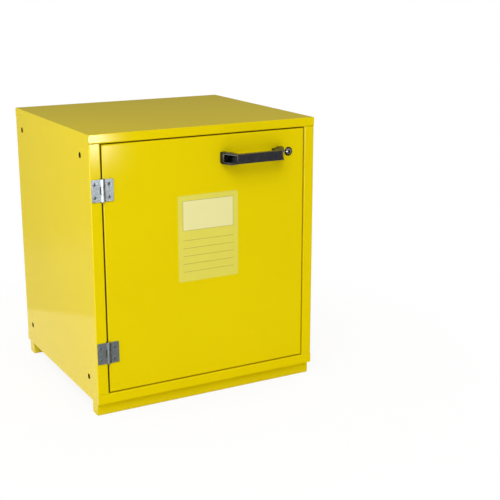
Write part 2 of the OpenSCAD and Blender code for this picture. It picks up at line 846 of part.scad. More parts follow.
// Bridge handle: sloped legs with a screw pocket in each foot, and a flat grip bar
module handle() {
    end = handle_len / 2;
    grip = grip_len / 2;
    leg = handle_pitch / 2 - pocket_w / 2 - leg_t;
    under = handle_out - grip_t;
    taper = pocket_w / 2;
    waist = handle_pitch / 2 - taper;
    z = lock_xz[1];
    color(black) difference() {
        intersection() {
            along_z(z - foot_h / 2, z + foot_h / 2) translate([handle_x, front_y]) mirror([0, 1]) polygon([
                [end, 0], [end, foot_end], [grip, handle_out],
                [-grip, handle_out], [-end, foot_end], [-end, 0],
                [-leg, 0], [leg_lean - leg, under], [leg - leg_lean, under], [leg, 0]
            ]);
            along_y(front_y - handle_out, front_y) translate([handle_x, z]) intersection() {
                round_rect([-end, -foot_h / 2], [end, foot_h / 2], foot_corner);
                union() {
                    rect([-end, -grip_h / 2], [end, grip_h / 2]);
                    for (s = [-1, 1]) polygon([
                        s * [waist, -grip_h / 2], s * [waist + taper, -foot_h / 2], s * [end, -foot_h / 2],
                        s * [end, foot_h / 2], s * [waist + taper, foot_h / 2], s * [waist, grip_h / 2]
                    ]);
                }
            }
        }
        for (p = handle_screw_xz) {
            along_y(front_y - handle_out - over, front_y - foot_seat)
                round_rect(p - [pocket_w, pocket_h] / 2, p + [pocket_w, pocket_h] / 2, pocket_corner);
            rod_y(p, handle_screw_r + run_gap, front_y - foot_seat - over, front_y + over);
        }
    }
}

module handle_screws() {
    r = handle_screw_r;
    top = -foot_seat - head_t(r);
    tail = sheet + nut_t(r) + thread_end;
    color(black) for (p = handle_screw_xz) difference() {
        turned(p, front_y, [
            [0, top], [head_r(r), top], [head_r(r), -foot_seat], [r, -foot_seat], [r, tail], [0, tail]
        ]);
        hex_y(p, handle_socket_r, front_y + top - over, front_y - foot_seat - head_t(r) / 2);
    }
}

module handle_nuts() {
    color(zinc) for (p = handle_screw_xz) nut(p, handle_screw_r, skin_in, nut_t(handle_screw_r));
}

// Lock barrel with its front ring, bored for the plug
module lock_body() {
    bore = plug_r + run_gap;
    rim = bore + plug_rim;
    land = bezel_land * (bezel_r - rim);
    end = cam_y - front_y - cam_gap / 2;
    color("gainsboro") turned(lock_xz, front_y, [
        [rim, -face_edge], [rim + land, -face_edge], [bezel_r, -bezel_edge], [bezel_r, 0], [barrel_r, 0],
        [barrel_r, end], [bore, end], [bore, plug_rim - face_edge], [rim, plug_rim - face_edge]
    ]);
}

module lock_nut() {
    color(zinc) difference() {
        hex_y(lock_xz, lock_nut_r, skin_in, skin_in + lock_nut_t);
        rod_y(lock_xz, barrel_r + run_gap, skin_in - over, skin_in + lock_nut_t + over);
    }
}

module contents_label() {
    z = door_t - label_down;
    color("khaki") along_y(front_y - label_t, front_y)
        round_rect([-label_w / 2, z - label_h], [label_w / 2, z], label_corner);
}

// Turning plug with its key slot in front and a square for the cam behind
module lock_plug() {
    rim_back = plug_rim - face_edge - run_gap;
    end = cam_y - front_y;
    color("silver") difference() {
        union() {
            turned(lock_xz, front_y, [
                [0, dish_t - bezel_t], [dish_floor_r, dish_t - bezel_t], [dish_r, -bezel_t],
                [plug_r + plug_rim, -face_edge], [plug_r + plug_rim, rim_back],
                [plug_r, rim_back], [plug_r, end], [0, end]
            ]);
            along_y(cam_y, cam_y + cam_t - run_gap) translate(lock_xz) square(tang_w, center = true);
        }
        along_y(front_y - bezel_t - over, front_y) translate(lock_xz) square(key_slot, center = true);
        rod_y(lock_xz, cam_screw_r + run_gap, cam_y + cam_t - cam_screw_in, cam_y + cam_t + over);
    }
}

// Cam that turns behind the door stop, pointing down while unlocked
module lock_cam() {
    color(zinc) along_y(cam_y, cam_y + cam_t) translate(lock_xz) difference() {
        round_rect([-cam_w / 2, -cam_reach], [cam_w / 2, cam_w / 2], cam_w / 4);
        square(tang_w + 2 * run_gap, center = true);
    }
}

module cam_screw() {
    r = cam_screw_r;
    color(zinc) difference() {
        turned(lock_xz, cam_y + cam_t, [
            [0, run_gap - cam_screw_in], [r, run_gap - cam_screw_in], [r, 0],
            [cam_head_r, 0], [cam_head_r, head_t(r) / 2], [cam_head_flat, head_t(r)], [0, head_t(r)]
        ]);
        hex_y(lock_xz, r, cam_y + cam_t + head_t(r) / 2, cam_y + cam_t + head_t(r) + over);
    }
}

left_side_panel();
right_side_panel();
top_panel();
bottom_panel();
back_panel();
back_rivets();
front_skid();
rear_skid();
upper_vent_cover();
lower_vent_cover();
vent_rivets();
earth_bolt();
earth_washer();
earth_nut();
left_front_rail();
left_rear_rail();
right_front_rail();
right_rear_rail();
shelf_clips();
retention_shelf();
sump_tray();
door_seal();
upper_hinge_frame_leaf();
lower_hinge_frame_leaf();
upper_hinge_pin();
lower_hinge_pin();
hinge_frame_screws();
hinge_frame_nuts();
door_pan();
door_stiffener();
upper_hinge_door_leaf();
lower_hinge_door_leaf();
hinge_door_screws();
hinge_door_nuts();
handle();
handle_screws();
handle_nuts();
lock_body();
lock_nut();
contents_label();
lock_plug();
lock_cam();
cam_screw();
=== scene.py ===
# %% [markdown]
# A yellow sheet-steel cabinet for flammable liquids, dressed in Blender around its CAD frame. The frame
# comes first. It gives every solid its place in metres, with the door facing -Y and +Z up, so no piece
# here has to be fitted by eye. The box of the bare frame is kept and printed at the end beside the box
# of the finished model.

# %% Load the frame
import json
import math
import bmesh
import bpy
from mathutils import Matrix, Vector

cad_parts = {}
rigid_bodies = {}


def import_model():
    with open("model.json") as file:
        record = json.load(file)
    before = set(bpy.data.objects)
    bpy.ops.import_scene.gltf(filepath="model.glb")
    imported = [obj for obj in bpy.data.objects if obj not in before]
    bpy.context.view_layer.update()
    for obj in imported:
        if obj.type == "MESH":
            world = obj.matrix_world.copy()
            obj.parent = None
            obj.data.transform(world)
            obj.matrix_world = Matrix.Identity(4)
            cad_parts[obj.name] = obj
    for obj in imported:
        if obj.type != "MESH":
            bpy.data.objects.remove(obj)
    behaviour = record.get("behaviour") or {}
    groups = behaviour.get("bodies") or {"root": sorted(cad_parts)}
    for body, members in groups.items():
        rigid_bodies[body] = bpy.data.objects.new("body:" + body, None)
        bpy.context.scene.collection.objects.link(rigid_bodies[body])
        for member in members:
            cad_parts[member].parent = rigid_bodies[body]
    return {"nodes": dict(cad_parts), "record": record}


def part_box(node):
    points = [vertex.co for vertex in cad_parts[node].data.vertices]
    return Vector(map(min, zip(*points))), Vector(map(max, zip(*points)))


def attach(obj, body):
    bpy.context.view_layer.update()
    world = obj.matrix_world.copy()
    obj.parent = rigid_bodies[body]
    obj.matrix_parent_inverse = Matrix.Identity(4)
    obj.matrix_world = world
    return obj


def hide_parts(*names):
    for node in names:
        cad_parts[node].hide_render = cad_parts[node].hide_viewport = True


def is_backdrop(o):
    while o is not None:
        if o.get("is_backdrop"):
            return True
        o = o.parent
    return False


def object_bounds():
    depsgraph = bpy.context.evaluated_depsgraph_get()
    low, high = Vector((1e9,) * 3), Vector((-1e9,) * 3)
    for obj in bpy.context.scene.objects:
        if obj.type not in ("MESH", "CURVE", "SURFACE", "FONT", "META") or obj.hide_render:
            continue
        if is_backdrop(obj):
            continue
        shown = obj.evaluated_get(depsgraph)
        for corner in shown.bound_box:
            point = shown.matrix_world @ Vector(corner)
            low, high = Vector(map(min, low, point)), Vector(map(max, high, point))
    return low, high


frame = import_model()
NODES = frame["nodes"]
cad_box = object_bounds()
MM = 0.001

# %% [markdown]
# Finishes are trees of shader nodes, and screws and seals below are trees of geometry nodes. Wiring
# such trees by hand hides the idea behind them, so a class wraps a socket and lets maths on it read as
# Python: 1 - mask adds the Math node by itself.

# %% Sockets that take part in Python maths
class Socket:
    """The output of a node, with the operators that the trees use."""

    def __init__(self, wiring, socket):
        self.wiring = wiring
        self.socket = socket

    def also(self, name):
        """Another output of the same node."""
        return Socket(self.wiring, self.socket.node.outputs[name])

    def maths(self, operation, first, second):
        return self.wiring.node("ShaderNodeMath", {"operation": operation}, {0: first, 1: second})

    def __add__(self, other):
        return self.maths("ADD", self, other)

    __radd__ = __add__

    def __sub__(self, other):
        return self.maths("SUBTRACT", self, other)

    def __rsub__(self, other):
        return self.maths("SUBTRACT", other, self)

    def __mul__(self, other):
        return self.maths("MULTIPLY", self, other)

    def __truediv__(self, other):
        return self.maths("DIVIDE", self, other)


# %% [markdown]
# Any other node is made from its type, its settings and its inputs, so that a tree reads as nested
# calls. The trees of materials share a few nodes: a place in Object coordinates, noise, a blend of two
# colours, a bump and a soft step. Colours are written in the numbers of a picture and turned into the
# linear ones that shaders take.

# %% Trees whose nodes are made by one method
class Wiring:
    """A node tree of any kind."""

    def __init__(self, tree):
        self.tree = tree

    def node(self, kind, settings=None, inputs=None, out=0):
        """Makes a node and gives one of its outputs, or the node itself if it has none."""
        made = self.tree.nodes.new(kind)
        for name, value in (settings or {}).items():
            setattr(made, name, value)
        for key, value in (inputs or {}).items():
            self.feed(made.inputs[key], value)
        return Socket(self, made.outputs[out]) if made.outputs else made

    def feed(self, socket, value):
        """Links an input to a socket, or to each of a list of sockets, or sets it to a plain value."""
        if isinstance(value, list):
            for one in value:
                self.feed(socket, one)
        elif isinstance(value, Socket):
            self.tree.links.new(value.socket, socket)
        else:
            socket.default_value = value


class Finish(Wiring):
    """The tree of a material, with the nodes that the finishes share."""

    def place(self, centre=(0, 0, 0), stretch=(1, 1, 1)):
        """The place in Object coordinates, from a centre, and stretched along each axis."""
        coords = self.node("ShaderNodeTexCoord", out="Object")
        moved = self.node("ShaderNodeVectorMath", {"operation": "SUBTRACT"}, {0: coords, 1: centre})
        return self.node("ShaderNodeVectorMath", {"operation": "MULTIPLY"}, {0: moved, 1: stretch})

    def along(self, axis, centre=(0, 0, 0)):
        """How far a place is from a centre along an axis, with the other axes as further outputs."""
        return self.node("ShaderNodeSeparateXYZ", {}, {0: self.place(centre)}, out=axis)

    def noise(self, where, scale, detail=2.0):
        return self.node("ShaderNodeTexNoise", {}, {"Vector": where, "Scale": scale, "Detail": detail})

    def blend(self, share, first, second):
        """The first colour where share is 0, and the second where it is 1."""
        return self.node("ShaderNodeMix", {"data_type": "RGBA"}, {0: share, 6: first, 7: second}, out=2)

    def bump(self, height, strength, depth):
        return self.node("ShaderNodeBump", {}, {"Height": height, "Strength": strength, "Distance": depth})

    def ramp(self, value, start, end, first=0.0, last=1.0):
        """A soft step from first to last while value goes from start to end."""
        return self.node(
            "ShaderNodeMapRange",
            {"interpolation_type": "SMOOTHSTEP"},
            {0: value, 1: start, 2: end, 3: first, 4: last},
        )


def rgb(red, green, blue):
    """A colour written in the 0 to 255 numbers of a picture, as the linear values that shaders take."""
    def linear(part):
        share = part / 255
        return share / 12.92 if share <= 0.04045 else ((share + 0.055) / 1.055) ** 2.4
    return (linear(red), linear(green), linear(blue), 1.0)


FINISHES = {}


def new_finish(name):
    material = bpy.data.materials.new(name)
    material.use_nodes = True
    material.node_tree.nodes.clear()
    FINISHES[name] = material
    return Finish(material.node_tree)


def surface(finish, **inputs):
    """Closes a finish with its surface shader."""
    named = {key.replace("_", " "): value for key, value in inputs.items()}
    shader = finish.node("ShaderNodeBsdfPrincipled", {}, named)
    finish.node("ShaderNodeOutputMaterial", {}, {"Surface": shader})


print("grey 128 of a picture is", round(rgb(128, 128, 128)[0], 3), "to a shader")

# %% [markdown]
# The yellow has painted shade in a few places: on the walls of the side holes, in the slot behind each
# hinge knuckle, as a painted shadow along the low and right edges of each hinge leaf, and on the door's
# edge in the gap beside the hinges. They could be painted by hand on an image, but distances in Object
# coordinates find them from the frame itself.

# %% Painted shade on the paint
SIDE_HOLES = next(row for row in frame["record"]["mounts"] if row["name"] == "left_side_fixing")
# How dark each painted shade and shadow on the yellow is.
SHADE_AT_KNUCKLE = 0.85
SHADOW_UNDER_LEAF = 0.45
HOLE_SHADE = 0.9
GAP_SHADE = 0.75


def apart(finish, centre):
    """How far a place is from a centre along X, with the other axes as further outputs."""
    off = finish.node("ShaderNodeVectorMath", {"operation": "ABSOLUTE"}, {0: finish.place(centre)})
    return finish.node("ShaderNodeSeparateXYZ", {}, {0: off})


def painted_hole_shade(paint):
    """1 on the walls of the side holes, where their shade is painted, 0 elsewhere."""
    middle = SIDE_HOLES["pos_m"]
    dims = SIDE_HOLES["dims"]
    off = apart(paint, (0.0, middle[1], middle[2]))
    along = off.also("Y") - dims["spacing_x_mm"] / 2 * MM
    upward = off.also("Z") - dims["spacing_y_mm"] / 2 * MM
    wall = dims["hole_r_mm"] * MM
    start = (wall * 1.01) ** 2
    end = (wall * 1.05) ** 2
    return paint.ramp(along * along + upward * upward, start, end, 1.0, 0.0)


def near_box(finish, low, high, soft):
    """1 inside a box, seen from the front, and 0 past its soft edge."""
    half = (high - low) / 2
    off = apart(finish, (low + high) / 2)
    beside = finish.ramp(off, half.x, half.x + soft, 1.0, 0.0)
    return beside * finish.ramp(off.also("Z"), half.z, half.z + soft, 1.0, 0.0)


def painted_hinge_shade(paint):
    """Painted shade, most behind the knuckles of the hinges, and a painted shadow along the low and right
    edges of their leaves.
    """
    share = 0.0
    reach = Vector((1.6, 0.0, 0.0)) * MM
    shadow_offset = Vector((0.5, 0.0, -0.5)) * MM
    for hinge in ("upper_hinge_", "lower_hinge_"):
        low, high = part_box(hinge + "pin")
        share = share + near_box(paint, low - reach, high + reach, 1.2 * MM) * SHADE_AT_KNUCKLE
        for leaf in ("frame_leaf", "door_leaf"):
            low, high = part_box(hinge + leaf)
            share = share + near_box(paint, low + shadow_offset, high + shadow_offset, 0.7 * MM) * SHADOW_UNDER_LEAF
    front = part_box("door_pan")[0].y
    depth = paint.along("Y")
    share = share * paint.ramp(depth, front + 0.3 * MM, front + 0.9 * MM, 1.0, 0.0)
    return paint.node("ShaderNodeMath", {"operation": "MINIMUM"}, {0: share, 1: SHADE_AT_KNUCKLE})


def painted_gap_shade(paint):
    """1 on the door's hinge edge, behind its rounded corner, where the shade in the door gap is painted, and
    0 elsewhere.
    """
    low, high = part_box("door_pan")
    deep = high.y - low.y
    edge = Vector((low.x + 0.5 * MM, high.y, high.z))
    depth = paint.along("Y", (0.0, low.y, 0.0))
    behind = paint.ramp(depth, 0.9 * MM, 2.0 * MM) * paint.ramp(depth, deep, deep + 1.0 * MM, 1.0, 0.0)
    return near_box(paint, low, edge, 0.5 * MM) * behind


print("side holes:", SIDE_HOLES["dims"])

# %% [markdown]
# The cabinet's skin is powder coat: paint that was sprayed on dry and melted in an oven. It is
# saturated, even and glossy. Close up it has orange peel, a shallow waviness of a millimetre or two,
# which a bump from fine noise gives. A slow drift in tone and gloss keeps the large flat panels from
# looking printed.

# %% Yellow powder coat
def powder_coat():
    paint = new_finish("yellow_paint")
    here = paint.place()
    drift = paint.noise(here, 2.2)
    peel = paint.noise(here, 520.0, 1.0)
    cloud = paint.noise(here, 14.0, 3.0)
    unshaded = paint.blend(drift, rgb(222, 199, 1), rgb(233, 209, 2))
    # Painted shade: dark on the walls of the side holes and on the door's edge in the gap.
    painted_shade = painted_hole_shade(paint) * HOLE_SHADE + painted_gap_shade(paint) * GAP_SHADE
    with_painted_shade = paint.blend(painted_shade, unshaded, rgb(52, 34, 6))
    surface(
        paint,
        # Painted shade behind the hinge knuckles and painted shadow under the hinge leaves.
        Base_Color=paint.blend(painted_hinge_shade(paint), with_painted_shade, rgb(44, 34, 12)),
        Roughness=0.05 + cloud * 0.02,
        Specular_IOR_Level=0.35,
        Normal=paint.bump(peel, 0.012, 0.0006),
    )


powder_coat()
print("finish:", list(FINISHES))

# %% [markdown]
# The shelf and the sump inside are bare galvanised sheet. It shows spangle, the frost-like crystals of
# its zinc, so a pattern of cells shifts tone and gloss from one crystal to the next, and slow noise
# adds a film.

# %% Galvanised sheet
def galvanised_sheet():
    zinc = new_finish("galvanised_steel")
    here = zinc.place()
    cells = zinc.node("ShaderNodeTexVoronoi", {}, {"Vector": here, "Scale": 85.0}, out="Color")
    spangle = zinc.node("ShaderNodeSeparateColor", {}, {0: cells})
    film_and_shade = zinc.noise(here, 9.0, 3.0)
    surface(
        zinc,
        Base_Color=zinc.blend(spangle, rgb(168, 174, 178), rgb(198, 203, 206)),
        Metallic=0.8,
        Roughness=0.34 + spangle * 0.1 + film_and_shade * 0.1,
    )


galvanised_sheet()
print("finish:", list(FINISHES))

# %% [markdown]
# Bright zinc on the hinges is brushed: noise that is stretched along one axis makes its streaks.
# Plating is duller than a mirror, so part of it scatters light as paint does. Shade is painted dark into the
# sockets of the hinge screws, behind the plane of their heads, and along the right side of the knuckles.
# The lower hinge, nearer the floor, is painted darker for the dim floor that it mirrors. The other
# fasteners share this finish in other tones.

# %% Brushed zinc
SCREW_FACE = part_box("hinge_frame_screws")[0].y
PIN_X = sum(corner.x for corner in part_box("upper_hinge_pin")) / 2
LOWER_HINGE_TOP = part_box("lower_hinge_pin")[1].z
UPPER_HINGE_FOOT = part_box("upper_hinge_pin")[0].z
# How far right of the pin the knuckle's painted shade starts and ends, and how much darker the lower hinge
# is painted.
KNUCKLE_SHADE_STARTS = (1.8 * MM, 3.0 * MM)
KNUCKLE_SHADE_ENDS = (5.8 * MM, 6.6 * MM)
LOWER_HINGE_SHADE = 0.42


def brushed_zinc(name, dark, bright, rough, metal=0.7, shade_behind=None, shade_beside=None):
    zinc = new_finish(name)
    streaks = zinc.noise(zinc.place(stretch=(1.0, 1.0, 0.06)), 900.0, 2.0)
    marks = zinc.noise(zinc.place(), 160.0, 4.0)
    colour = zinc.blend(streaks * 0.6 + marks * 0.4, dark, bright)
    if shade_behind is not None:
        # Painted shade in the screw sockets, behind the plane of the heads.
        painted_shade = zinc.ramp(zinc.along("Y"), shade_behind - 0.3 * MM, shade_behind + 0.2 * MM)
        colour = zinc.blend(painted_shade, colour, rgb(16, 16, 17))
    if shade_beside is not None:
        # Painted shade along the right side of the knuckle.
        beside = zinc.along("X", (shade_beside, 0.0, 0.0))
        knuckle_shade = zinc.ramp(beside, *KNUCKLE_SHADE_STARTS) * zinc.ramp(beside, *KNUCKLE_SHADE_ENDS, 1.0, 0.0)
        colour = zinc.blend(knuckle_shade * SHADE_AT_KNUCKLE, colour, rgb(40, 38, 34))
        # The lower hinge is painted darker, fading out towards the upper one, for the dim floor that it
        # mirrors.
        film_and_shade = zinc.ramp(beside.also("Z"), LOWER_HINGE_TOP, UPPER_HINGE_FOOT, LOWER_HINGE_SHADE, 0.0)
        colour = zinc.blend(film_and_shade, colour, rgb(66, 70, 64))
    surface(
        zinc,
        Base_Color=colour,
        Metallic=metal,
        Roughness=rough + marks * 0.14,
        Normal=zinc.bump(streaks, 0.05, 0.0002),
    )


brushed_zinc("hinge_steel", rgb(198, 210, 217), rgb(230, 238, 243), rough=0.18, shade_beside=PIN_X)
brushed_zinc("zinc_fastener", rgb(158, 164, 170), rgb(196, 200, 204), rough=0.3)
brushed_zinc("hinge_screw", rgb(150, 156, 162), rgb(190, 195, 200), rough=0.26, shade_behind=SCREW_FACE)
brushed_zinc("black_screw", rgb(34, 34, 37), rgb(58, 58, 62), rough=0.3, metal=1.0)
print("finish:", list(FINISHES))

# %% [markdown]
# The earth bolt is turned brass, and fine noise stands for the marks of the lathe. Chrome on the lock
# needs a faint smear in its gloss. Its keyhole is painted dark for the shade inside it, and the ring round
# the plug is painted dark for the dim surroundings it mirrors and the shadow round it. The lock is round,
# so the distance from its axis tells these three apart.

# %% Brass and chrome
PLUG_LOW, PLUG_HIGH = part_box("lock_plug")
LOCK_AXIS = (PLUG_LOW + PLUG_HIGH) / 2
KEYHOLE = 3.3 * MM
RING = 7.0 * MM
RING_SOFT = 0.2 * MM


def earth_brass():
    brass = new_finish("earth_brass")
    lathe = brass.noise(brass.place(), 700.0, 2.0)
    surface(
        brass,
        Base_Color=brass.blend(lathe, rgb(196, 156, 74), rgb(222, 186, 104)),
        Metallic=1.0,
        Roughness=0.24 + lathe * 0.12,
    )


def lock_chrome():
    chrome = new_finish("lock_chrome")
    smear = chrome.noise(chrome.place(), 120.0, 3.0)
    flat = chrome.place(LOCK_AXIS, (1.0, 0.0, 1.0))
    off_axis = chrome.node("ShaderNodeVectorMath", {"operation": "LENGTH"}, {0: flat}, out="Value")
    # Painted shade in the keyhole, and a painted dark ring round the plug for what it mirrors.
    unshaded = chrome.ramp(off_axis, KEYHOLE - RING_SOFT, KEYHOLE + RING_SOFT)
    painted_dark_ring = chrome.ramp(off_axis, RING - RING_SOFT, RING + RING_SOFT)
    bright = chrome.blend(smear, rgb(212, 213, 215), rgb(232, 233, 235))
    ringed = chrome.blend(painted_dark_ring, bright, rgb(66, 61, 54))
    surface(
        chrome,
        Base_Color=chrome.blend(unshaded, rgb(10, 10, 11), ringed),
        Metallic=0.85,
        Roughness=0.5 - unshaded * 0.36 + smear * 0.08,
    )


earth_brass()
lock_chrome()
print("finish:", list(FINISHES))

# %% [markdown]
# The handle is glass-filled plastic with a fine moulded grain and a soft sheen. The grip is painted grey
# for the sheen it shows, the rims of its two screw pockets carry a painted highlight, brightest along
# their top, and its feet on the door are painted black for their shade. As on the paint, places from the
# frame find them.

# %% Moulded plastic
POCKET_HALF = Vector((9.0, 0.0, 8.5)) * MM
POCKET_RIM = Vector((1.0, 0.0, 1.0)) * MM


def painted_rim_highlights(plastic):
    """Up to 1 on the rims of the screw pockets, where a highlight is painted, most along their top, and 0
    elsewhere.
    """
    low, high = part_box("handle_screws")
    head = (high.z - low.z) / 2
    outer = POCKET_HALF + POCKET_RIM
    share = 0.0
    for x in (low.x + head, high.x - head):
        middle = Vector((x, 0.0, low.z + head))
        rim = near_box(plastic, middle - outer, middle + outer, 0.8 * MM)
        share = share + rim - near_box(plastic, middle - POCKET_HALF, middle + POCKET_HALF, 0.3 * MM)
    up = plastic.along("Z", (0.0, 0.0, low.z + head))
    return share * plastic.ramp(up, POCKET_HALF.z * -1.1, POCKET_HALF.z, 0.1, 1.0)


def painted_grip_sheen(plastic):
    """1 on the grip, which is painted grey for its sheen, 0 on the feet, which are painted black for their
    shade.
    """
    low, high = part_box("handle")
    middle = (low.y + high.y) / 2
    return plastic.ramp(plastic.along("Y", (0.0, middle, 0.0)), -1.0 * MM, 7.0 * MM, 1.0, 0.0)


def moulded_plastic():
    plastic = new_finish("handle_plastic")
    here = plastic.place()
    grain = plastic.noise(here, 2600.0, 1.0)
    haze = plastic.noise(here, 60.0, 3.0)
    grey = plastic.blend(haze, rgb(40, 40, 44), rgb(52, 52, 57))
    # Painted sheen: the grip greyer than the feet, which are painted black for their shade.
    black = plastic.blend(painted_grip_sheen(plastic), rgb(19, 19, 20), grey)
    surface(
        plastic,
        # Painted highlight on the rims of the screw pockets.
        Base_Color=plastic.blend(painted_rim_highlights(plastic) * (0.25 + haze * 0.5), black, rgb(150, 148, 143)),
        Roughness=0.22 + haze * 0.1,
        Specular_IOR_Level=0.28,
        Normal=plastic.bump(grain, 0.1, 0.0002),
    )


moulded_plastic()
print("finish:", list(FINISHES))

# %% [markdown]
# The door seal is foam rubber with open cells. It is nearly black, as the handle is, so what tells them
# apart is gloss and relief: the plastic keeps its sheen, and the foam swallows the light.

# %% Foam rubber
def foam_rubber():
    foam = new_finish("seal_rubber")
    here = foam.place()
    cells = foam.node("ShaderNodeTexVoronoi", {}, {"Vector": here, "Scale": 900.0}, out="Distance")
    surface(
        foam,
        Base_Color=foam.blend(cells, rgb(20, 20, 21), rgb(40, 40, 41)),
        Roughness=0.82 + cells * 0.1,
        Normal=foam.bump(cells, 0.4, 0.0003),
    )


foam_rubber()
print("finish:", list(FINISHES))

# %% [markdown]
# The contents label is a sheet of pale vinyl with a blank writing panel and ruled lines, printed flat.
# A print has no relief of its own, so it is drawn in the shader: the distance to a box, worked out from
# Object coordinates on the label's own plane, tells ink from bare vinyl.

# %% Label vinyl
LABEL_LOW, LABEL_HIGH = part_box("contents_label")
LABEL_MIDDLE = (LABEL_LOW + LABEL_HIGH) / 2
LABEL_HALF = (LABEL_HIGH - LABEL_LOW) / 2
LABEL_MARGIN = 12 * MM
PANEL_HALF = (LABEL_HALF.x - LABEL_MARGIN, 34 * MM)
PANEL_AT = (0.0, LABEL_HALF.z - LABEL_MARGIN - PANEL_HALF[1])
PANEL_LINE = 0.7 * MM
RULE_COUNT = 5
RULE_HALF = (PANEL_HALF[0], 0.35 * MM)
FIRST_RULE = PANEL_AT[1] - PANEL_HALF[1] - 22 * MM
RULE_STEP = 18 * MM
PRINT_BLUR = 0.2 * MM
PANEL_COVER = 0.55
INK_COVER = 0.8


def inside_box(finish, place, middle, half):
    """1 inside a box on the label's plane, 0 outside."""
    edges = []
    for part, offset, reach in zip(place, middle, half):
        away = finish.node("ShaderNodeMath", {"operation": "ABSOLUTE"}, {0: part - offset})
        edges.append(finish.ramp(away, reach - PRINT_BLUR, reach + PRINT_BLUR, 1.0, 0.0))
    return edges[0] * edges[1]


def label_vinyl():
    vinyl = new_finish("label_vinyl")
    across = vinyl.along("X", LABEL_MIDDLE)
    place = (across, across.also("Z"))
    panel = inside_box(vinyl, place, PANEL_AT, [reach - PANEL_LINE for reach in PANEL_HALF])
    ink = inside_box(vinyl, place, PANEL_AT, PANEL_HALF) - panel
    for row in range(RULE_COUNT):
        ink = ink + inside_box(vinyl, place, (0.0, FIRST_RULE - RULE_STEP * row), RULE_HALF)
    grain = vinyl.noise(vinyl.place(LABEL_MIDDLE), 40.0, 3.0)
    sheet = vinyl.blend(grain, rgb(219, 209, 72), rgb(226, 216, 84))
    panelled = vinyl.blend(panel * PANEL_COVER, sheet, rgb(240, 236, 196))
    surface(
        vinyl,
        Base_Color=vinyl.blend(ink * INK_COVER, panelled, rgb(112, 104, 52)),
        Roughness=0.34 + grain * 0.1,
    )


label_vinyl()
print("label:", [round(half * 2 / MM, 1) for half in LABEL_HALF], "mm")

# %% [markdown]
# A CAD node whose shape is right stays as it is and only changes its coat. The record already says
# which slot each node belongs to, and the finishes carry the same names, so one loop dresses all of
# them.

# %% Coats for the CAD nodes
SLOT_OF = {row["node"]: row["material_slot"] for row in frame["record"]["subparts"]}
for name, node in NODES.items():
    node.data.materials.clear()
    node.data.materials.append(FINISHES[SLOT_OF[name]])
print("dressed:", len(SLOT_OF), "nodes with", len(set(SLOT_OF.values())), "finishes")

# %% [markdown]
# Some pieces deserve a finer shape than the frame gives. Each of them stands for one or more CAD nodes,
# rides on the same body and keeps the same slot, so one helper does all three. It also puts on the
# finish, which is the slot's own unless another is named. A second helper smooths what is round, and a
# third turns what modifiers make into a plain mesh.

# %% Putting a piece in the place of its nodes
BODIES = frame["record"]["behaviour"]["bodies"]
BODY_OF = {node: body for body, nodes in BODIES.items() for node in nodes}


def smooth(mesh, angle=35):
    """Shades a mesh round, apart from edges that turn by more than an angle in degrees."""
    for face in mesh.polygons:
        face.use_smooth = True
    mesh.set_sharp_from_angle(angle=math.radians(angle))


def new_piece(name, mesh):
    piece = bpy.data.objects.new(name, mesh)
    bpy.context.scene.collection.objects.link(piece)
    return piece


def plain_mesh(piece):
    """Turns what the modifiers make into the piece's own mesh."""
    graph = bpy.context.evaluated_depsgraph_get()
    mesh = bpy.data.meshes.new_from_object(piece.evaluated_get(graph))
    piece.modifiers.clear()
    piece.data = mesh


def stand_for(piece, *nodes, finish=None):
    """Coats a piece and gives it the body, the slot and the place of its CAD nodes."""
    slot = SLOT_OF[nodes[0]]
    piece.data.materials.clear()
    piece.data.materials.append(FINISHES[finish or slot])
    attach(piece, BODY_OF[nodes[0]])
    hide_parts(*nodes)
    print(piece.name, "stands for", ", ".join(nodes), "with", len(piece.data.polygons), "faces")


print("bodies:", {body: len(nodes) for body, nodes in BODIES.items()})

# %% [markdown]
# Rivets, screws and nuts repeat, so Geometry Nodes make them. One tree describes one kind of fastener:
# a disc is extruded step by step, and each step may widen or narrow its top, as on a lathe. Instance on
# Points then sets a copy on every place. Sizes that differ from piece to piece are named inputs of the
# tree.

# %% A recipe, which is a Geometry Nodes tree with named sizes
WELD = 0.002 * MM


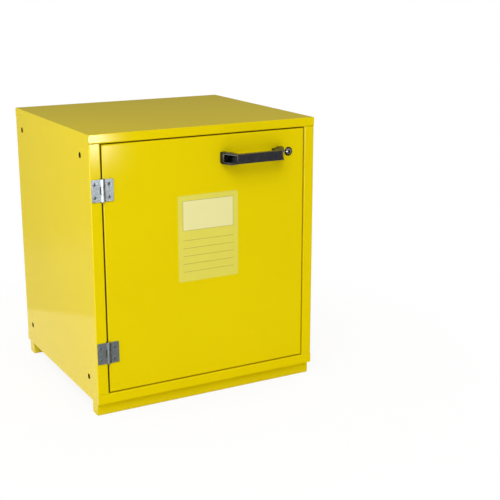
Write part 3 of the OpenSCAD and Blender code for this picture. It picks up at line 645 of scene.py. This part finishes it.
class Recipe(Wiring):
    """A tree of geometry nodes for one kind of piece."""

    def __init__(self, name, *sizes):
        super().__init__(bpy.data.node_groups.new(name, "GeometryNodeTree"))
        interface = self.tree.interface
        interface.new_socket("Geometry", in_out="OUTPUT", socket_type="NodeSocketGeometry")
        interface.new_socket("Geometry", in_out="INPUT", socket_type="NodeSocketGeometry")
        self.ids = {}
        for size in sizes:
            row = interface.new_socket(size, in_out="INPUT", socket_type="NodeSocketFloat")
            self.ids[size] = row.identifier
        self.entry = self.tree.nodes.new("NodeGroupInput")

    def size(self, name):
        return Socket(self, self.entry.outputs[name])

    def turned(self, sides, radius, steps):
        """A closed solid along Z, from its first radius and the rise and the widening of each step."""
        inputs = {"Vertices": sides, "Radius": radius}
        disc = self.node("GeometryNodeMeshCircle", {"fill_type": "NGON"}, inputs)
        solid = disc
        top = True
        for rise, ratio in steps:
            inputs = {"Mesh": solid, "Selection": top, "Offset Scale": rise, "Individual": False}
            solid = self.node("GeometryNodeExtrudeMesh", {}, inputs)
            top = solid.also("Top")
            inputs = {"Geometry": solid, "Selection": top, "Scale": ratio}
            solid = self.node("GeometryNodeScaleElements", {}, inputs)
        floor = self.node("GeometryNodeFlipFaces", {}, {"Mesh": disc})
        both = self.node("GeometryNodeJoinGeometry", {}, {"Geometry": [solid, floor]})
        return self.node("GeometryNodeMergeByDistance", {}, {"Geometry": both, "Distance": WELD})

    def bar(self, sides, radius, low, high):
        """A prism or rod along Z, for cutting."""
        inputs = {"Vertices": sides, "Radius": radius, "Depth": high - low}
        rod = self.node("GeometryNodeMeshCylinder", {}, inputs)
        middle = self.node("ShaderNodeCombineXYZ", {}, {2: (low + high) / 2})
        return self.node("GeometryNodeTransform", {}, {"Geometry": rod, "Translation": middle})

    def cut(self, solid, cutter):
        settings = {"operation": "DIFFERENCE", "solver": "EXACT"}
        return self.node("GeometryNodeMeshBoolean", settings, {"Mesh 1": solid, "Mesh 2": cutter})

    def both(self, first, second):
        settings = {"operation": "INTERSECT", "solver": "EXACT"}
        return self.node("GeometryNodeMeshBoolean", settings, {"Mesh 2": [first, second]})

    def on_points(self, solid, lean, finish):
        """Closes the tree: a coated copy on each point of the mesh, turned about X by lean."""
        points = Socket(self, self.entry.outputs["Geometry"])
        turn = (math.radians(lean), 0.0, 0.0)
        inputs = {"Points": points, "Instance": solid, "Rotation": turn}
        copies = self.node("GeometryNodeInstanceOnPoints", {}, inputs)
        real = self.node("GeometryNodeRealizeInstances", {}, {"Geometry": copies})
        coated = self.node("GeometryNodeSetMaterial", {}, {"Geometry": real, "Material": FINISHES[finish]})
        self.node("NodeGroupOutput", {}, {"Geometry": coated})

    def make(self, name, points, sizes):
        """Runs the tree on a mesh of points and keeps the plain mesh."""
        mesh = bpy.data.meshes.new(name)
        mesh.from_pydata(points, [], [])
        piece = new_piece(name, mesh)
        modifier = piece.modifiers.new("recipe", "NODES")
        modifier.node_group = self.tree
        for size, value in sizes.items():
            modifier[self.ids[size]] = value
        plain_mesh(piece)
        smooth(piece.data)
        return piece


# %% [markdown]
# The places and sizes of the fasteners come from their CAD nodes. Such a node holds many solids in one
# mesh, so its vertices are gathered along the edges that link them, and each group gives the box of one
# solid.

# %% Separate solids of a CAD node
def solids(node):
    """The lowest and highest corner of each separate solid in a CAD node."""
    skin = bmesh.new()
    skin.from_mesh(NODES[node].data)
    bmesh.ops.remove_doubles(skin, verts=skin.verts, dist=WELD)
    left = set(skin.verts)
    boxes = []
    while left:
        edge_of_search = [left.pop()]
        found = []
        while edge_of_search:
            vert = edge_of_search.pop()
            found.append(vert.co.copy())
            for edge in vert.link_edges:
                other = edge.other_vert(vert)
                if other in left:
                    left.remove(other)
                    edge_of_search.append(other)
        low = Vector([min(point[axis] for point in found) for axis in range(3)])
        high = Vector([max(point[axis] for point in found) for axis in range(3)])
        boxes.append((low, high))
    skin.free()
    return sorted(boxes, key=lambda box: tuple(round(part, 6) for part in box[0]))


def on_axis(boxes, level):
    """A point on the axis of each solid, which runs along Y, at its low or its high end."""
    return [((low.x + high.x) / 2, (low.y, high.y)[level], (low.z + high.z) / 2) for low, high in boxes]


print("solids:", {node: len(solids(node)) for node in ("back_rivets", "vent_rivets", "hinge_door_screws")})

# %% [markdown]
# The back panel and the vent covers are held by blind rivets. Seen from outside such a rivet is a low
# dome with a small hole, where the pulled mandrel broke off. Inside, the pulled end has swollen into a
# bulb.

# %% Blind rivets
BULB_OVER_SHANK = 1.5


def rivet_recipe():
    recipe = Recipe("blind_rivet", "Shank Radius", "Head Radius", "Head Height", "Bulb Height", "Grip")
    shank = recipe.size("Shank Radius")
    head = recipe.size("Head Radius")
    dome = recipe.size("Head Height")
    bulb = recipe.size("Bulb Height")
    steps = [
        (bulb * 0.25, BULB_OVER_SHANK), (bulb * 0.5, 1.0), (bulb * 0.25, 1 / BULB_OVER_SHANK),
        (recipe.size("Grip"), 1.0), (0.0, head / shank),
        (dome * 0.3, 0.98), (dome * 0.3, 0.9), (dome * 0.25, 0.78), (dome * 0.15, 0.62),
        (0.0, 0.72), (dome * -0.55, 0.9),
    ]
    recipe.on_points(recipe.turned(20, shank, steps), -90, "zinc_fastener")
    return recipe


RIVETS = solids("back_rivets") + solids("vent_rivets")
RIVET_HEAD = 1.2 * MM
RIVET_BULB = 2.5 * MM
RIVET_SIZES = {
    "Shank Radius": 2.0 * MM,
    "Head Radius": (RIVETS[0][1].x - RIVETS[0][0].x) / 2,
    "Head Height": RIVET_HEAD,
    "Bulb Height": RIVET_BULB,
    "Grip": RIVETS[0][1].y - RIVETS[0][0].y - RIVET_HEAD - RIVET_BULB,
}
rivets = rivet_recipe().make("blind_rivets", on_axis(RIVETS, 0), RIVET_SIZES)
stand_for(rivets, "back_rivets", "vent_rivets")

# %% [markdown]
# The hinges are held by countersunk screws with a low dome that stands out of the leaf, and the handle
# by cap screws deep in its pockets. Both have a hexagon socket, which a Mesh Boolean cuts. The two
# kinds share one recipe: the cap screw's head rises straight where the other one widens.

# %% Screws with a hexagon socket
SHANK_OVER_TIP = 1.12
HINGE_SHANK = 2.0 * MM
HANDLE_SHANK = 3.0 * MM


def screw_recipe(name, finish, straight):
    sizes = ("Shank Radius", "Shank Length", "Head Radius", "Head Height", "Dome Height", "Socket Radius")
    recipe = Recipe(name, *sizes)
    shank = recipe.size("Shank Radius")
    long = recipe.size("Shank Length")
    head = recipe.size("Head Radius")
    high = recipe.size("Head Height")
    dome = recipe.size("Dome Height")
    steps = [(long * 0.06, SHANK_OVER_TIP), (long * 0.94, 1.0)]
    if straight:
        steps += [(0.0, head / shank), (high, 1.0), (dome, 0.92)]
    else:
        steps += [(high * 0.92, head / shank), (high * 0.08, 1.0)]
        steps += [(dome * 0.4, 0.81), (dome * 0.35, 0.73), (dome * 0.25, 0.66)]
    solid = recipe.turned(28, shank / SHANK_OVER_TIP, steps)
    socket = recipe.bar(6, recipe.size("Socket Radius"), long + high * 0.45, long + high + dome * 2)
    recipe.on_points(recipe.cut(solid, socket), 90, finish)
    return recipe


def screw_sizes(boxes, shank, head, dome, socket):
    low, high = boxes[0]
    return {
        "Shank Radius": shank,
        "Shank Length": high.y - low.y - head,
        "Head Radius": (high.x - low.x) / 2,
        "Head Height": head,
        "Dome Height": dome,
        "Socket Radius": socket,
    }


domed_screw = screw_recipe("domed_screw", "hinge_screw", straight=False)
cap_screw = screw_recipe("cap_screw", "black_screw", straight=True)
for leaf in ("frame", "door"):
    node = "hinge_" + leaf + "_screws"
    boxes = solids(node)
    sizes = screw_sizes(boxes, HINGE_SHANK, head=1.6 * MM, dome=0.9 * MM, socket=1.7 * MM)
    screws = domed_screw.make(leaf + "_leaf_screws", on_axis(boxes, 1), sizes)
    stand_for(screws, node, finish="hinge_screw")
boxes = solids("handle_screws")
sizes = screw_sizes(boxes, HANDLE_SHANK, head=5.4 * MM, dome=0.5 * MM, socket=2.85 * MM)
stand_for(cap_screw.make("handle_cap_screws", on_axis(boxes, 1), sizes), "handle_screws")

# %% [markdown]
# Behind the sheet each screw ends in a hexagon nut. A nut is a hexagon whose corners were turned down
# to a chamfer, so its recipe is the common part of a hexagonal bar and a turned barrel, less the bore.

# %% Hexagon nuts
END_OVER_CORNER = 0.9
CHAMFER_RISE = 0.12
THREAD_CLEAR = 0.05 * MM
NUT_SHANKS = {"hinge_frame_nuts": HINGE_SHANK, "hinge_door_nuts": HINGE_SHANK, "handle_nuts": HANDLE_SHANK}


def nut_recipe():
    recipe = Recipe("hexagon_nut", "Corner Radius", "Height", "Bore Radius")
    corner = recipe.size("Corner Radius")
    high = recipe.size("Height")
    rise = high * CHAMFER_RISE
    straight = high * (1 - 2 * CHAMFER_RISE)
    steps = [(rise, 1 / END_OVER_CORNER), (straight, 1.0), (rise, END_OVER_CORNER)]
    barrel = recipe.turned(36, corner * END_OVER_CORNER, steps)
    below = high * -0.5
    above = high * 1.5
    hexagon = recipe.bar(6, corner, below, above)
    bore = recipe.bar(24, recipe.size("Bore Radius"), below, above)
    recipe.on_points(recipe.cut(recipe.both(hexagon, barrel), bore), -90, "zinc_fastener")
    return recipe


hexagon_nut = nut_recipe()
for node, shank in NUT_SHANKS.items():
    boxes = solids(node)
    low, high = boxes[0]
    sizes = {
        "Corner Radius": (high.x - low.x) / 2,
        "Height": high.y - low.y,
        "Bore Radius": shank + THREAD_CLEAR,
    }
    stand_for(hexagon_nut.make(node.replace("nuts", "hexagon_nuts"), on_axis(boxes, 0), sizes), node)

# %% [markdown]
# A rubber seal runs round the door stop. It is cut from a length of extrusion with a flat back and a
# round front, so the recipe sweeps a D along a rectangle with rounded corners. The D is a circle whose
# back half is pressed flat.

# %% Door seal
SEAL_BAND = 10 * MM
SEAL_BEND = 7 * MM


def seal_recipe():
    recipe = Recipe("door_seal", "Width", "Height", "Band", "Depth", "Bend")
    inputs = {"Width": recipe.size("Width"), "Height": recipe.size("Height")}
    frame_line = recipe.node("GeometryNodeCurvePrimitiveQuadrilateral", {}, inputs)
    inputs = {"Curve": frame_line, "Count": 6, "Radius": recipe.size("Bend")}
    path = recipe.node("GeometryNodeFilletCurve", {"mode": "POLY"}, inputs)
    path = recipe.node("GeometryNodeSetCurveNormal", {"mode": "Z_UP"}, {"Curve": path})
    circle = recipe.node("GeometryNodeCurvePrimitiveCircle", {}, {"Resolution": 24, "Radius": 1.0})
    here = recipe.node("ShaderNodeSeparateXYZ", {}, {0: recipe.node("GeometryNodeInputPosition")})
    across = here * (recipe.size("Band") / 2)
    front = recipe.node("ShaderNodeMath", {"operation": "MAXIMUM"}, {0: here.also("Y"), 1: 0.0})
    shaped = recipe.node("ShaderNodeCombineXYZ", {}, {0: across, 1: front * recipe.size("Depth")})
    profile = recipe.node("GeometryNodeSetPosition", {}, {"Geometry": circle, "Position": shaped})
    strip = recipe.node("GeometryNodeCurveToMesh", {}, {"Curve": path, "Profile Curve": profile})
    recipe.on_points(strip, -90, "seal_rubber")
    return recipe


seal_low, seal_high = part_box("door_seal")
sizes = {
    "Width": seal_high.x - seal_low.x - SEAL_BAND,
    "Height": seal_high.z - seal_low.z - SEAL_BAND,
    "Band": SEAL_BAND,
    "Depth": seal_high.y - seal_low.y,
    "Bend": SEAL_BEND,
}
seal_at = ((seal_low.x + seal_high.x) / 2, seal_high.y, (seal_low.z + seal_high.z) / 2)
seal = seal_recipe().make("rubber_door_seal", [seal_at], sizes)
stand_for(seal, "door_seal")
print("seal box:", [tuple(round(part, 4) for part in corner) for corner in (seal_low, seal_high)])

# %% [markdown]
# Real edges are never knife sharp. The handle is moulded with soft edges, and the hinge leaves, the
# lock and the earth bolt have edges that were rolled, turned or tumbled. These pieces keep their CAD
# shape, so a copy of the CAD mesh is welded into one skin, its flat triangles are joined, and a Bevel
# rounds every true edge. Its option to harden normals keeps the flat faces flat in the light.

# %% Copies with rounded edges
FLAT_WITHIN = math.radians(0.5)
TRUE_EDGE = math.radians(32)


def welded_copy(node, name):
    """A piece with the CAD node's shape, as one skin of flat faces."""
    skin = bmesh.new()
    skin.from_mesh(NODES[node].data)
    bmesh.ops.remove_doubles(skin, verts=skin.verts, dist=WELD)
    bmesh.ops.dissolve_limit(skin, angle_limit=FLAT_WITHIN, verts=skin.verts, edges=skin.edges)
    mesh = bpy.data.meshes.new(name)
    skin.to_mesh(mesh)
    skin.free()
    if "custom_normal" in mesh.attributes:
        mesh.attributes.remove(mesh.attributes["custom_normal"])
    mesh.shade_smooth()
    return new_piece(name, mesh)


def rounded(node, name, width):
    piece = welded_copy(node, name)
    bevel = piece.modifiers.new("edges", "BEVEL")
    bevel.width = width
    bevel.segments = 3
    bevel.limit_method = "ANGLE"
    bevel.angle_limit = TRUE_EDGE
    bevel.harden_normals = True
    plain_mesh(piece)
    stand_for(piece, node)


ROUNDED = (
    ("handle", "moulded_handle", 1.6),
    ("upper_hinge_frame_leaf", "upper_frame_leaf", 0.35),
    ("lower_hinge_frame_leaf", "lower_frame_leaf", 0.35),
    ("upper_hinge_door_leaf", "upper_door_leaf", 0.35),
    ("lower_hinge_door_leaf", "lower_door_leaf", 0.35),
    ("upper_hinge_pin", "upper_riveted_pin", 0.4),
    ("lower_hinge_pin", "lower_riveted_pin", 0.4),
    ("lock_body", "lock_barrel", 0.3),
    ("lock_plug", "lock_key_plug", 0.2),
    ("lock_nut", "lock_ring_nut", 0.5),
    ("lock_cam", "lock_steel_cam", 0.4),
    ("cam_screw", "cam_round_screw", 0.2),
    ("earth_bolt", "earth_hexagon_bolt", 0.4),
    ("earth_washer", "earth_flat_washer", 0.3),
    ("earth_nut", "earth_hexagon_nut", 0.4),
)
for node, piece_name, width in ROUNDED:
    rounded(node, piece_name, width * MM)

# %% [markdown]
# The shelf and the sump are trays folded from galvanised sheet. The walls turn up in a small bend, and
# the top edge is a hem: the sheet folded back on itself, so that no one is cut by it. Such a tray is
# one skin through a stack of rounded rectangles, which goes up the inside, over the hem and down the
# outside.

# %% Folded trays
TRAY_WALL = 1.2 * MM
TRAY_BEND = 1.5 * MM
TRAY_CORNER = 5 * MM
TRAY_LEAST_CORNER = 0.6 * MM
TRAY_HEM = 9 * MM
ARC_STEPS = 4


def rectangle_ring(low, high, inset, level):
    """The points of a rounded rectangle, inset from the tray's outside."""
    radius = max(TRAY_CORNER - inset, TRAY_LEAST_CORNER)
    left, right = low.x + inset + radius, high.x - inset - radius
    front, back = low.y + inset + radius, high.y - inset - radius
    points = []
    for number, (x, y) in enumerate(((right, back), (left, back), (left, front), (right, front))):
        for step in range(ARC_STEPS + 1):
            angle = math.pi / 2 * (number + step / ARC_STEPS)
            points.append((x + radius * math.cos(angle), y + radius * math.sin(angle), level))
    return points


def arc(middle, radius, start, end):
    """Inset and level of points on a bend, with the angles in degrees."""
    inset, level = middle
    for step in range(ARC_STEPS + 1):
        angle = math.radians(start + (end - start) * step / ARC_STEPS)
        yield (inset + radius * math.cos(angle), level + radius * math.sin(angle))


def tray_profile(low, high):
    """Inset and level of each rectangle in the stack, from the floor's inside to its underside."""
    bend, wall = TRAY_BEND, TRAY_WALL
    inner_bend = (wall + bend, low.z + wall + bend)
    lip = (wall, high.z - wall)
    profile = list(arc(inner_bend, bend, 270, 180))
    profile += [(wall, high.z - TRAY_HEM), (2 * wall, high.z - TRAY_HEM)]
    profile += list(arc(lip, wall, 0, 180))
    profile += list(arc(inner_bend, wall + bend, 180, 270))
    return profile


def folded_tray(node, name):
    low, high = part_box(node)
    rings = [rectangle_ring(low, high, inset, level) for inset, level in tray_profile(low, high)]
    around = len(rings[0])
    faces = [list(range(around)), [around * (len(rings) - 1) + spot for spot in range(around)]]
    for ring in range(len(rings) - 1):
        for spot in range(around):
            beside = (spot + 1) % around
            base = ring * around
            faces.append([base + spot, base + beside, base + around + beside, base + around + spot])
    mesh = bpy.data.meshes.new(name)
    mesh.from_pydata([point for ring in rings for point in ring], [], faces)
    skin = bmesh.new()
    skin.from_mesh(mesh)
    bmesh.ops.recalc_face_normals(skin, faces=skin.faces)
    skin.to_mesh(mesh)
    skin.free()
    smooth(mesh, angle=50)
    stand_for(new_piece(name, mesh), node)


folded_tray("retention_shelf", "folded_shelf")
folded_tray("sump_tray", "folded_sump")

# %% [markdown]
# The camera stands ahead of the cabinet, to its left and above it, and looks down a little. Its place
# and focal length come from the cabinet's own corners: this camera brings them closest to where they
# are in the picture.

# %% Camera
FRAME_PX = 500
FOCAL_PX = 1058.3
SENSOR_MM = 36.0
CAMERA_AT = (-1.035, -2.2836, 0.969)
CAMERA_DIP = 15.10
CAMERA_TURN = 29.08
camera_data = bpy.data.cameras.new("camera")
camera_data.sensor_width = SENSOR_MM
camera_data.lens = FOCAL_PX / FRAME_PX * SENSOR_MM
camera = bpy.data.objects.new("camera", camera_data)
camera.location = CAMERA_AT
camera.rotation_euler = (math.radians(90 - CAMERA_DIP), 0.0, math.radians(-CAMERA_TURN))
bpy.context.scene.collection.objects.link(camera)
bpy.context.scene.camera = camera
print("camera: lens", round(camera_data.lens, 1), "mm")

# %% [markdown]
# The studio is a white sheet on the floor under soft lamps. Glossy paint and metal show what stands
# around them, so the floor has a brightness for mirrored rays alone. Its patches are measured in metres
# from the cabinet's middle. The sheet ends beside the cabinet in a straight edge. The floor ahead is
# dim, so that the front keeps its deep colour, and a pool of light far out leaves a glare in its upper
# corner. The far corner at the left is bright too: no flat face mirrors it, but bends and knuckles
# catch a line of it. The far floor at the right is dim, which gives the knuckles their dark side.

# %% The floor in reflections
SHEET_EDGE = 0.674
SHEET_SOFT = 0.02
SHEET_SLANT = (0.746, 0.666)
SHEET_GLOW = 0.75
LEFT_GLOW = 1.2
CORNER_GLOW = 2.2
POOL = (1.12, -3.96, 0.0)
POOL_TURN = 20.0
POOL_FADE = (0.098, 0.64)
POOL_GLOW = 21.0


def pool_image(floor):
    """A long narrow pool of light that fades from its middle."""
    turn = (0.0, 0.0, math.radians(-POOL_TURN))
    settings = {"rotation_type": "EULER_XYZ"}
    inputs = {"Vector": floor.place(POOL), "Rotation": turn}
    along = floor.node("ShaderNodeVectorRotate", settings, inputs)
    parts = floor.node("ShaderNodeSeparateXYZ", {}, {0: along})
    short = parts / POOL_FADE[0]
    long = parts.also("Y") / POOL_FADE[1]
    fall = floor.node("ShaderNodeMath", {"operation": "EXPONENT"}, {0: 0 - short * short - long * long})
    return fall * POOL_GLOW


def mirror_image(floor):
    """How bright the floor is in a reflection."""
    across = floor.along("X")
    ahead = across.also("Y")
    aside = floor.node("ShaderNodeMath", {"operation": "ABSOLUTE"}, {0: across})
    edge = aside * SHEET_SLANT[0] + ahead * SHEET_SLANT[1]
    beyond = floor.ramp(ahead, 0.9, 1.6, 0.44, 0.3)
    sheet = floor.ramp(edge, SHEET_EDGE - SHEET_SOFT, SHEET_EDGE + SHEET_SOFT, SHEET_GLOW, beyond)
    sheet = sheet * floor.ramp(ahead, -0.26, -0.16) * floor.ramp(across, 0.9, 1.4, 1.0, 0.15)
    left = floor.ramp(across, -0.9, -0.3, LEFT_GLOW, 0.03) * floor.ramp(ahead, -0.5, -0.25, 1.0, 0.0)
    corner = floor.ramp(across, -1.0, -0.5, CORNER_GLOW, 0.0) * floor.ramp(ahead, -1.9, -1.3, 1.0, 0.0)
    return sheet + left + corner + pool_image(floor)


print("reflections: sheet edge at", SHEET_EDGE, "m, pool of light at", POOL[:2])

# %% [markdown]
# To the camera the floor is white of its own, through Light Path, so the background is bright with no
# more light on the cabinet. Close to the cabinet a share of plain floor stays in the mix and keeps its
# shadow.

# %% Studio floor
FLOOR_REACH = 6.0
SHADOW_FADE = (0.35, 1.1)
SHADOW_KEPT = 0.12


def ray(wiring, *names):
    """1 for the named kinds of ray, 0 for others."""
    path = wiring.node("ShaderNodeLightPath", out=names[0])
    share = path
    for name in names[1:]:
        share = wiring.node("ShaderNodeMath", {"operation": "MAXIMUM"}, {0: share, 1: path.also(name)})
    return share


def studio_floor():
    floor = new_finish("studio_floor")
    here = floor.place()
    plain_colour = floor.blend(floor.noise(here, 5.0), rgb(240, 240, 240), rgb(244, 244, 244))
    plain = floor.node("ShaderNodeBsdfDiffuse", {}, {"Color": plain_colour})
    away = floor.node("ShaderNodeVectorMath", {"operation": "LENGTH"}, {0: here}, out="Value")
    seen = ray(floor, "Is Camera Ray")
    mirrored = ray(floor, "Is Glossy Ray", "Is Transmission Ray")
    share = seen * floor.ramp(away, *SHADOW_FADE, 1 - SHADOW_KEPT, 1.0) + mirrored
    glow = floor.node("ShaderNodeEmission", {}, {"Strength": seen + mirrored * mirror_image(floor)})
    mixed = floor.node("ShaderNodeMixShader", {}, {0: share, 1: plain, 2: glow})
    floor.node("ShaderNodeOutputMaterial", {}, {"Surface": mixed})
    mesh = bpy.data.meshes.new("floor")
    corners = [(x * FLOOR_REACH, y * FLOOR_REACH, 0) for x, y in ((-1, -1), (1, -1), (1, 1), (-1, 1))]
    mesh.from_pydata(corners, [], [(0, 1, 2, 3)])
    mesh.materials.append(FINISHES["studio_floor"])
    new_piece("floor", mesh)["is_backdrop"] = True


studio_floor()
print("stage: floor")

# %% [markdown]
# The world lights every face a little from all around. It is white to the camera, and in reflections it
# is a dim room, brightest near the horizon. One large soft lamp stands high ahead at the left as the
# key. Another stands at the left and reaches down to the floor, so that upright round edges, such as
# hinge knuckles, catch a bright line. A weaker one at the right fills in the side and the back that
# those two leave in shade. It is kept out of reflections.

# %% World and lamps
HORIZON = 0.02
MIDDLE_HEIGHT = 0.35


def studio_world():
    world = bpy.data.worlds.new("studio")
    world.use_nodes = True
    world.node_tree.nodes.clear()
    air = Finish(world.node_tree)
    direction = air.node("ShaderNodeTexCoord", out="Generated")
    up = air.node("ShaderNodeSeparateXYZ", {}, {0: direction}, out="Z")
    sky = air.ramp(up, HORIZON, 0.5, 0.42, 0.72)
    room = air.ramp(up, HORIZON, 0.12, 0.24, 0.115)
    seen = ray(air, "Is Camera Ray")
    mirrored = ray(air, "Is Glossy Ray", "Is Transmission Ray")
    strength = seen + mirrored * room + (1 - seen - mirrored) * sky
    light = air.node("ShaderNodeBackground", {}, {"Color": (1.0, 1.0, 1.0, 1.0), "Strength": strength})
    air.node("ShaderNodeOutputWorld", {}, {"Surface": light})
    bpy.context.scene.world = world


def soft_lamp(name, at, towards, size, power, mirrored=True):
    lamp = bpy.data.lights.new(name, "AREA")
    lamp.shape = "SQUARE"
    lamp.size = size
    lamp.energy = power
    stand = bpy.data.objects.new(name, lamp)
    stand.location = at
    stand.rotation_euler = (Vector(towards) - Vector(at)).to_track_quat("-Z", "Y").to_euler()
    stand.visible_camera = False
    stand.visible_glossy = mirrored
    bpy.context.scene.collection.objects.link(stand)


studio_world()
soft_lamp("key_lamp", (-1.2, -2.0, 2.45), (0.0, -0.2, MIDDLE_HEIGHT), size=1.8, power=41.0)
soft_lamp("left_lamp", (-2.4, -0.3, 0.82), (-0.27, 0.0, MIDDLE_HEIGHT), size=1.6, power=16.0)
soft_lamp("right_lamp", (2.4, 0.7, 0.9), (0.27, 0.1, MIDDLE_HEIGHT), size=1.6, power=15.0, mirrored=False)
bpy.context.scene.view_settings.view_transform = "Standard"
print("lights: world,", [lamp.name for lamp in bpy.data.lights])

# %% [markdown]
# The box of the CAD frame and the box of the visual model are printed side by side. The visual
# model must stay inside the box of the CAD frame.

# %% Sizes and finish
boxes = {"cad": [list(corner) for corner in cad_box], "visual": [list(corner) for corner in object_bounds()]}
print("sizes:", boxes)
